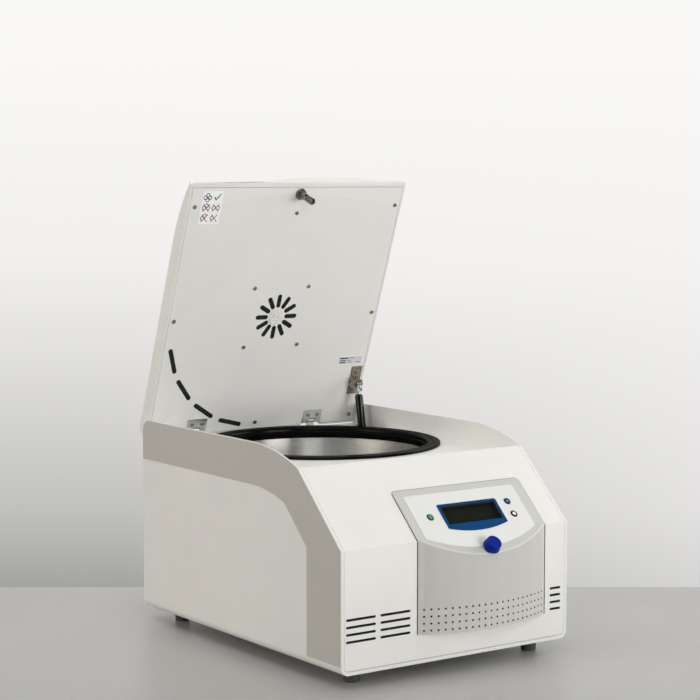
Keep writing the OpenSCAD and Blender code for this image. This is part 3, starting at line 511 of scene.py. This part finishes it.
def sharp(o):
    """Keeps folds of more than 35 degrees sharp."""
    o.data.set_sharp_from_angle(angle=math.radians(35))
    return o


# ---------------------------------------------------------------- rounded covers
# just inside the shut lid's sides, front and back
LID_SIDE, LID_FRONT, LID_BACK = 0.2240, 0.1700, 0.3105


def on_outer_lid(e, p):
    """The outer edges of the lid's cover: sides, front and back."""
    q = LID.inverted() @ p
    a, b = LID.inverted() @ e.verts[0].co, LID.inverted() @ e.verts[1].co
    across = abs(a.y - b.y) < NEAR
    side = abs(q.x) > LID_SIDE
    front = across and q.y < Y0 - LID_FRONT and abs(a.x - b.x) > 0.1
    back = across and q.y > Y0 + LID_BACK
    return (side or front or back) and q.z > PANEL_Z + 0.002


weigh(sharp(soft_copy("lid_cover", "lid_shell", 2.6, 4, on_outer_lid)))

PANEL_LO, PANEL_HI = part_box("control_panel")
PANEL_X = (PANEL_LO.x + PANEL_HI.x) / 2
RISE = BEND.y - PANEL_LO.y
BOW_R = ((PANEL_HI.x - PANEL_X) ** 2 + RISE ** 2) / (2 * RISE)
BOW_Y = PANEL_LO.y + BOW_R
UP_SLOPE = Vector((0, -math.sin(SLOPE), math.cos(SLOPE)))


def on_panel_rim(e, p):
    """The panel's outer edges, not those of its holes or windows."""
    d = (e.verts[0].co - e.verts[1].co).normalized()
    q = (on_slope(0, 0, 0).inverted() @ p) / MM
    side = min(p.x - PANEL_LO.x, PANEL_HI.x - p.x) < NEAR
    if q.z > 1.9 and q.y > -60:
        return side or q.y > 91 or q.y < -3.5
    return side and abs(d.z) > 0.99


def bow_normals(o):
    """Shades the bowed front as one true cylinder that rolls over into the flat slope."""
    me = o.data
    axis = Vector((PANEL_X, BOW_Y, 0))
    radial = lambda p: Vector((p.x - axis.x, p.y - axis.y, 0)).normalized()
    target = {}
    bowed = set()
    for f in me.polygons:
        outward = f.normal.dot(radial(f.center))
        if abs(f.normal.z) < 0.02 and outward > 0.98 and (f.center - axis).xy.length > BOW_R - 0.001:
            bowed.add(f.index)
            target.update({v: radial(me.vertices[v].co) for v in f.vertices})
        elif f.normal.dot(UP_SLOPE) > 0.999 and f.area > 0.00002:
            target.update({v: UP_SLOPE for v in f.vertices})
    normals = [Vector(n.vector) for n in me.corner_normals]
    for f in me.polygons:
        for k, v in zip(f.loop_indices, f.vertices):
            if v in target and (f.index in bowed or f.normal.dot(target[v]) > 0.7):
                normals[k] = target[v]
    me.normals_split_custom_set(normals)


bowed = sharp(soft_copy("control_panel", "bowed_panel", 1.3, 3, on_panel_rim))
bow_normals(bowed)

# black open-cell foam behind the grille and the cooling slots, put there as painted shade for the dark
# space behind them; its black also paints the shade on their walls
FOAM_SHADE = rubber("foam_shade", (0.004, 0.004, 0.004), 0.9, 0.0016)
# lighter grey for the panel's roll-over: a painted highlight
FOLD_HIGHLIGHT = paint("fold_highlight", (0.66, 0.66, 0.635), rough=0.5, depth=0.00001, dirt=0.01)
bowed.data.materials.append(FOAM_SHADE)
bowed.data.materials.append(FOLD_HIGHLIGHT)
# the walls of the grille's holes turn black as painted shade, the small roll-over at its upper edge a
# lighter grey as a painted highlight
for f in bowed.data.polygons:
    out = Vector((f.center.x - PANEL_X, f.center.y - BOW_Y, 0))
    if 0.069 < f.center.z < 0.110 and f.area < 0.00001 and abs(f.normal.dot(out.normalized())) < 0.3:
        f.material_index = 1
    elif f.area < 0.0001 and f.center.y < BEND.y - 0.0015 and 0.1 < f.normal.z < 0.68:
        f.material_index = 2
bm = bmesh.new()
ring(bm, PANEL_X / MM, BOW_Y / MM, BOW_R / MM - 3.3, BOW_R / MM - 2.6, 69, 112, n=60, a0=-115, a1=-65)
piece("grille_foam_shade", bm, STILL, "base", [FOAM_SHADE])

# black foam plates and black slot linings on the upright front, as painted shade behind and inside the
# cooling slots: x across, y up, z towards the front, in millimetres
UPRIGHT = Matrix.Translation((0, BEND.y, 0)) @ Matrix.Rotation(math.pi / 2, 4, "X")
bm = bmesh.new()
PLATE_LO, PLATE_HI, PLATE_BACK, PLATE_TOP = 66, 115, -2.9, -2.1
for x0, x1 in ((-221, -91), (189, 219)):
    prism(bm, [(x0, PLATE_LO), (x1, PLATE_LO), (x1, PLATE_HI), (x0, PLATE_HI)], PLATE_BACK, PLATE_TOP)
for row in range(4):
    for x, length in FRONT_SLOTS:
        sleeve(bm, x, SLOT_TOP - SLOT_PITCH * row, length, SLOT_WIDTH, 0, PLATE_TOP, -0.1)
piece("slot_screens", bm, UPRIGHT, "base", [FOAM_SHADE])


def unrolled(x, s, h):
    """A point on the front cover: s up the slope from the bend, or down the upright front below it."""
    if s > 0:
        return on_slope(x, s, h).translation
    return Vector((x * MM, BEND.y - h * MM, BEND.z + s * MM))


# thin dark strip round the control panel, painted shade for the gap at its edge, drawn as points and
# outward directions up one half and mirrored
GAP_SHADE = rubber("gap_shade", (0.035, 0.033, 0.03), 0.8)
HALF = (PANEL_HI.x - PANEL_X) / MM
TOP = 99
CORNER = 7
path = [((-HALF, s), (-1, 0)) for s in (-148, -75, -1, 1, 46, TOP - CORNER)]
for a in (22.5, 45, 67.5):
    dx, ds = -math.cos(math.radians(a)), math.sin(math.radians(a))
    path.append(((-HALF + CORNER + CORNER * dx, TOP - CORNER + CORNER * ds), (dx, ds)))
path += [((x, TOP), (0, 1)) for x in (-HALF + CORNER, 0)]
path += [((-x, s), (-dx, ds)) for (x, s), (dx, ds) in path[-2::-1]]
bm = bmesh.new()
rows = []
for (x, s), (dx, ds) in path:
    cx = PANEL_X / MM + x
    rows.append([bm.verts.new(unrolled(cx + dx * w, s + ds * w, h))
                 for w, h in ((-0.6, 0.02), (1.0, 0.02), (1.0, 0.5), (-0.6, 0.5))])
for p, q in zip(rows, rows[1:]):
    for k in range(4):
        bm.faces.new((p[k], q[k], q[(k + 1) % 4], p[(k + 1) % 4]))
bm.faces.new(rows[0])
bm.faces.new(rows[-1][::-1])
piece("panel_gap_shade", bm, STILL, "base", [GAP_SHADE])

# ---------------------------------------------------------------- printed marks and small parts
BLACK = film("ink_black", (0.02, 0.02, 0.03))
RED = film("ink_red", (0.25, 0.03, 0.03))
GREEN = film("ink_green", (0.0, 0.10, 0.045))
YELLOW = film("ink_yellow", (0.70, 0.42, 0.02))
WHITE = film("ink_white", (0.86, 0.85, 0.84))
PALE = film("ink_pale", (0.36, 0.46, 0.42))
SILVER = film("ink_silver", (0.66, 0.67, 0.72))

# loading pictograms by row and column: the seats drawn of four; the filled one is ticked, the rest crossed
TICK = [(-6.6, 0.4), (-4.9, 1.6), (-2.4, -2.2), (5.6, 7.4), (6.8, 6.4), (-2.2, -5.4)]
SEATS = {(0, 0): (0, 1, 2, 3), (1, 0): (0, 1, 2), (1, 1): (0, 2), (2, 0): (1, 2), (2, 1): (2,)}
SEAT_OUT = 4.1
COLUMN_PITCH, ROW_PITCH, TOP_ROW = 19.2, 18.6, 18.4
bm = bmesh.new()
for row in range(3):
    for col in range(2):
        cx, cy = COLUMN_PITCH * (col - 0.5), TOP_ROW - ROW_PITCH * row
        if row == 0 and col == 1:
            prism(bm, [(cx + x, cy + y) for x, y in TICK], 0, 0.12, 2)
            continue
        for k in SEATS[(row, col)]:
            ux, uy = cx + SEAT_OUT * math.cos(k * math.pi / 2), cy + SEAT_OUT * math.sin(k * math.pi / 2)
            ring(bm, ux, uy, 2.7, 4.0, 0, 0.08, 0, 24)
        if row:
            for turn, top in ((48, 0.122), (-48, 0.118)):
                prism(bm, bar(cx, cy, 18, 1.3, turn), 0, top, 1)
piece("load_pictograms", bm, under_lid(*LOAD_LABEL, LABEL_THICK), "lid", [BLACK, RED, GREEN])

# rating plate with plain bars in place of words
bm = bmesh.new()
prism(bm, bar(0, 0, 52.4, 14.8, 0), 0, 0.05, 0)
for x, y, w, h in ((-15, 4.2, 19, 2.4), (2, 4.2, 10, 1.1), (-17, -0.4, 14, 1.6), (-4, -0.4, 8, 0.9),
                   (-17, -4.2, 14, 2.2), (0, -4.2, 9, 1.2), (18, -4.6, 9, 1.2)):
    prism(bm, bar(x, y, w, h, 0), 0.05, 0.1, 1)
piece("rating_bars", bm, under_lid(*TYPE_LABEL, LABEL_THICK), "lid", [SILVER, BLACK])

# black foam behind the lid's air slots and black linings in them, as painted shade
bm = bmesh.new()
FOAM_BACK, FOAM_TOP, LINING_TOP = -2.6, -1.35, -0.05
ring(bm, 0, 0, 16.6, 47, FOAM_BACK, FOAM_TOP, n=72)
ring(bm, 0, 0, 203, 223, FOAM_BACK, FOAM_TOP, n=40, a0=185, a1=265)
for turns, r, length, lean in ((range(0, 360, 30), STAR_R, STAR_LENGTH, 0),
                               (CORNER_TURNS, CORNER_R, CORNER_LENGTH, 90)):
    for a in turns:
        t = math.radians(a)
        sleeve(bm, r * math.cos(t), r * math.sin(t), length, AIR_WIDTH, a + lean, FOAM_TOP, LINING_TOP)
piece("slot_foam_shade", bm, under_lid(0, BOWL_Y), "lid", [FOAM_SHADE])

# key symbols, by the key's place on the slope and its body
KEY_TOP = 3.6
INK = 0.06
KEYS = {"start_button": (-36.3, 40.5, "start_key"), "lid_button": (129.3, 53.3, "lid_key"),
        "stop_button": (128.4, 27.3, "stop_key")}
for key, (x, s, body) in KEYS.items():
    bm = bmesh.new()
    if key == "start_button":
        ring(bm, 0, 0, 2.4, 3.4, 0, INK)
        prism(bm, [(-1.0, -1.5), (1.6, 0), (-1.0, 1.5)], 0, INK)
        ink = PALE
    elif key == "lid_button":
        prism(bm, [(-1.9, -1.7), (1.9, -1.7), (1.9, -0.7), (-1.9, -0.7)], 0, INK)
        prism(bm, [(-1.8, -0.1), (1.7, 1.0), (1.4, 1.9), (-2.1, 0.8)], 0, INK)
        ink = YELLOW
    else:
        prism(bm, disc(0, 0, 3.3), 0, INK)
        ink = WHITE
    piece(key + "_symbol", bm, on_slope(x, s, KEY_TOP), body, [ink])

# sunken display: glass at the bottom of a window whose black walls are painted shade, with the middle and
# size of the window
LCD_AT = (47, 39.6)
LCD_W, LCD_H = 109.9, 36.1
GLASS_H = -2.0
WALL_TOP = 3.1
WALL = 0.4
bm = bmesh.new()
prism(bm, bar(0, 0, LCD_W, LCD_H, 0), -1.0, 0, 0)
for x, y, w, h in ((0, (LCD_H - WALL) / 2, LCD_W, WALL), (0, (WALL - LCD_H) / 2, LCD_W, WALL),
                   ((LCD_W - WALL) / 2, 0, WALL, LCD_H - 2 * WALL),
                   ((WALL - LCD_W) / 2, 0, WALL, LCD_H - 2 * WALL)):
    prism(bm, bar(x, y, w, h, 0), 0, WALL_TOP - GLASS_H, 1)
window = piece("display_window", bm, on_slope(*LCD_AT, GLASS_H), "base", [M["lcd"], FOAM_SHADE])
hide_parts("lcd_display")

# unlit segments of the display
bm = bmesh.new()


def digit(cx, cy, w, h, t):
    """Seven leaning bars of thickness t."""
    for dy in (-h / 2, 0, h / 2):
        prism(bm, bar(cx + 0.1 * dy, cy + dy, w - t * 1.3, t, 0), 0, 0.02)
    for dx in (-w / 2, w / 2):
        for dy in (-h / 4, h / 4):
            prism(bm, bar(cx + dx + 0.1 * dy, cy + dy, h / 2 - t * 1.3, t, 84.3), 0, 0.02)


for i in range(5):
    digit(-36 + 8.6 * i, 5.5, 5.0, 9.5, 0.9)
    digit(14 + 8.6 * i, 5.5, 5.0, 9.5, 0.9)
for i in range(4):
    digit(-37 + 6.2 * i, -9.8, 3.4, 6.4, 0.65)
    digit(24 + 6.2 * i, -9.8, 3.4, 6.4, 0.65)
for i in range(3):
    ring(bm, -6 + 9 * i, -9.8, 2.2, 2.8, 0, 0.02, n=24)
SEGMENT = film("lcd_segment", (0.0045, 0.0055, 0.004))
piece("lcd_segments", bm, on_slope(*LCD_AT, GLASS_H), "base", [SEGMENT])

# ---------------------------------------------------------------- stage and light
AHEAD = Vector((-math.sin(AIM), math.cos(AIM), 0))
ACROSS = Vector((math.cos(AIM), math.sin(AIM), 0))


def sheet_of(name, mat, origin, u, v, u0, u1, v0, v1):
    """A flat stage sheet through origin along u and v."""
    me = bpy.data.meshes.new(name)
    corners = [origin + u * a + v * b for a, b in ((u0, v0), (u1, v0), (u1, v1), (u0, v1))]
    me.from_pydata(corners, [], [(0, 1, 2, 3)])
    me.materials.append(mat)
    o = bpy.data.objects.new(name, me)
    scene.collection.objects.link(o)
    return o


def stage_mat(name, lo, hi, rough):
    """A plain stage surface between two tones."""
    g = Mat(name)
    g.set("Base Color", g.blend(g.span(g.noise(0.8, 3), 0, 1), lo, hi))
    g.set("Roughness", g.span(g.noise(0.3, 4), rough - 0.04, rough + 0.04))
    return g.m


def wall_mat():
    """A glowing wall with its light and shade painted in: bright above, darkening softly downwards and to
    the left.
    """
    g = Mat("wall_mat", Roughness=0.9, Emission_Strength=1.0, Base_Color=(0, 0, 0, 1),
            Specular_IOR_Level=0.0)
    d = g.node("ShaderNodeVectorMath", {0: g.co, 1: ACROSS}, operation="DOT_PRODUCT").outputs["Value"]
    z = g.node("ShaderNodeSeparateXYZ", {0: g.co}).outputs[2]
    z = g.math("ADD", z, g.math("MULTIPLY", g.math("ADD", g.noise(2.5, 1), -0.5), 0.15))
    sides = []
    for stops in (((0.0, 0.36), (0.15, 0.53), (0.34, 0.68), (0.6, 0.87), (1.0, 0.95)),
                  ((0.0, 0.66), (0.15, 0.76), (0.34, 0.82), (0.6, 0.90), (1.0, 0.95))):
        ramp = g.node("ShaderNodeValToRGB", {0: g.span(z, 0, 1, -0.90, 1.3)})
        el = ramp.color_ramp.elements
        while len(el) < len(stops):
            el.new(0.5)
        for e, (at, k) in zip(el, stops):
            e.position, e.color = at, (k, k * 0.99, k * 0.975, 1)
        sides.append(ramp.outputs[0])
    g.set("Emission Color", g.blend(g.span(d, 0, 1, -0.9, 1.4), *sides))
    return g.m


sheet_of("table", stage_mat("table_mat", (0.42, 0.42, 0.415), (0.44, 0.44, 0.435), 0.34),
         Vector((0, 0, 0)), ACROSS, AHEAD, -2.2, 2.2, -1.4, 0.392)
sheet_of("wall", wall_mat(), AHEAD * 4.5, ACROSS, Vector((0, 0, 1)), -7, 7, -1.6, 6)
sheet_of("ground", stage_mat("ground_mat", (0.60, 0.60, 0.60), (0.62, 0.62, 0.62), 0.6),
         Vector((0, 0, -1.2)), ACROSS, AHEAD, -9, 9, -9, 4.5)


def area(name, at, to, w, h, power, colour, spread=180):
    """A rectangular light at one point, aimed at another."""
    d = bpy.data.lights.new(name, "AREA")
    d.spread = math.radians(spread)
    d.shape, d.size, d.size_y, d.energy, d.color = "RECTANGLE", w, h, power, colour
    o = bpy.data.objects.new(name, d)
    o.location = at
    o.rotation_euler = (Vector(to) - Vector(at)).to_track_quat("-Z", "Y").to_euler()
    scene.collection.objects.link(o)


world = bpy.data.worlds.new("world")
world.use_nodes = True
world.node_tree.nodes["Background"].inputs[0].default_value = (1, 0.99, 0.965, 1)
world.node_tree.nodes["Background"].inputs[1].default_value = 0.16
scene.world = world
area("top", (-0.5, 0.0, 2.6), (0, 0, 0.3), 2.0, 1.6, 25, (1, 0.985, 0.96))
area("front_low", (0.9, -3.0, 0.5), (0, 0.2, 0.7), 1.6, 1.2, 12.3, (1, 0.99, 0.97), 90)
area("front_left", (-1.4, -3.0, 1.9), (0, 0.1, 0.5), 1.4, 1.2, 4.9, (1, 0.985, 0.955), 90)
area("left", (-2.6, 0.4, 0.9), (-0.23, 0.15, 0.42), 1.6, 1.6, 7.3, (1, 0.945, 0.86), 90)
area("right", (2.8, -0.8, 1.2), (0.2, -0.1, 0.4), 1.6, 1.6, 34, (1, 0.99, 0.98))
